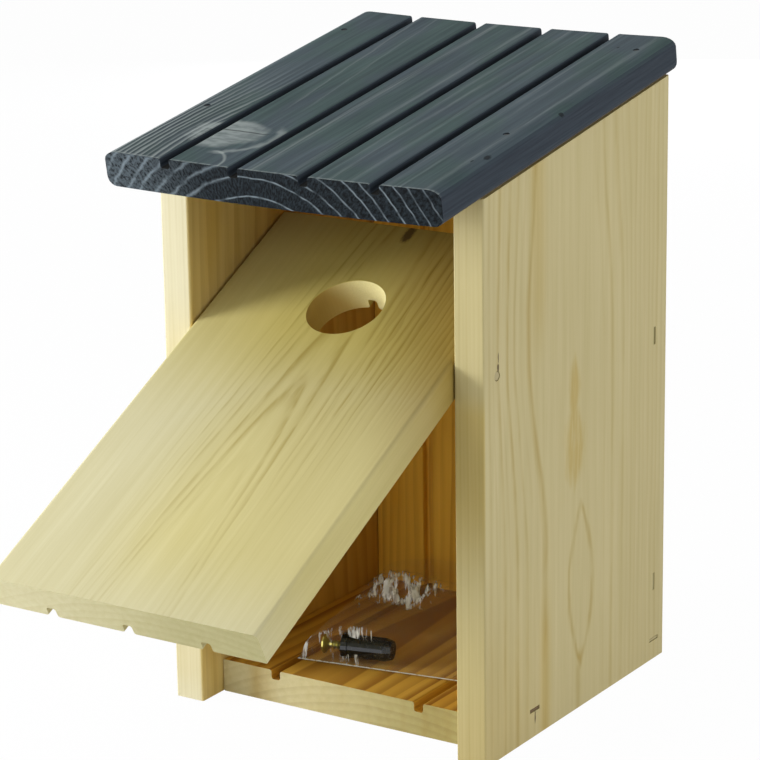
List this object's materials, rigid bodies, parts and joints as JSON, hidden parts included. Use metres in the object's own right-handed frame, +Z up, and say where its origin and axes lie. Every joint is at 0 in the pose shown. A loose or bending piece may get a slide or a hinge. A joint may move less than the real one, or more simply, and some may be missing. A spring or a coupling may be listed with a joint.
{
  "type": "bird nest box",
  "caption": "Wooden bird nest box with a sloping grooved roof board and a front panel with a round entrance that swings open on side nails",
  "frame": {"origin": "centre of the footprint of the side boards, on the underside that the box stands on", "axes": "+X to the box's right as seen from the front, +Y from the front to the back board, which goes against a wall, +Z up"},
  "size_m": [0.15, 0.2781, 0.26],
  "materials": {
    "roof_stain": "dark slate stain on planed softwood",
    "left_side_pine": "bare planed pine",
    "right_side_pine": "bare planed pine",
    "back_pine": "bare planed pine",
    "floor_pine": "bare planed pine",
    "panel_pine": "bare planed pine",
    "steel": "dull bright wire",
    "roof_nail_steel": "wire with stain over it",
    "plug_plastic": "dark moulded plastic",
    "screw_zinc": "yellow zinc plate",
    "clear_film": "clear crinkled film"
  },
  "bodies": {
    "box": {"roof": "roof_stain", "left_side": "left_side_pine", "right_side": "right_side_pine", "back_board": "back_pine", "floor_board": "floor_pine", "pivot_nail_left": "steel", "pivot_nail_right": "steel", "roof_nail_left_front": "roof_nail_steel", "roof_nail_left_rear": "roof_nail_steel", "roof_nail_right_front": "roof_nail_steel", "roof_nail_right_rear": "roof_nail_steel", "staple_left_back_lower": "steel", "staple_left_back_upper": "steel", "staple_left_floor_front": "steel", "staple_left_floor_rear": "steel", "staple_right_back_lower": "steel", "staple_right_back_upper": "steel", "staple_right_floor_front": "steel", "staple_right_floor_rear": "steel", "wall_plug": "plug_plastic", "hanging_screw": "screw_zinc", "fixings_bag": "clear_film"},
    "panel": {"front_panel": "panel_pine"}
  },
  "joints": [
    {"name": "front_panel_hinge", "type": "hinge", "parent": "box", "child": "panel", "pos_m": [0, -0.06305, 0.1534], "axis": [-1, 0, 0], "range_deg": [-63, 78]}
  ]
}
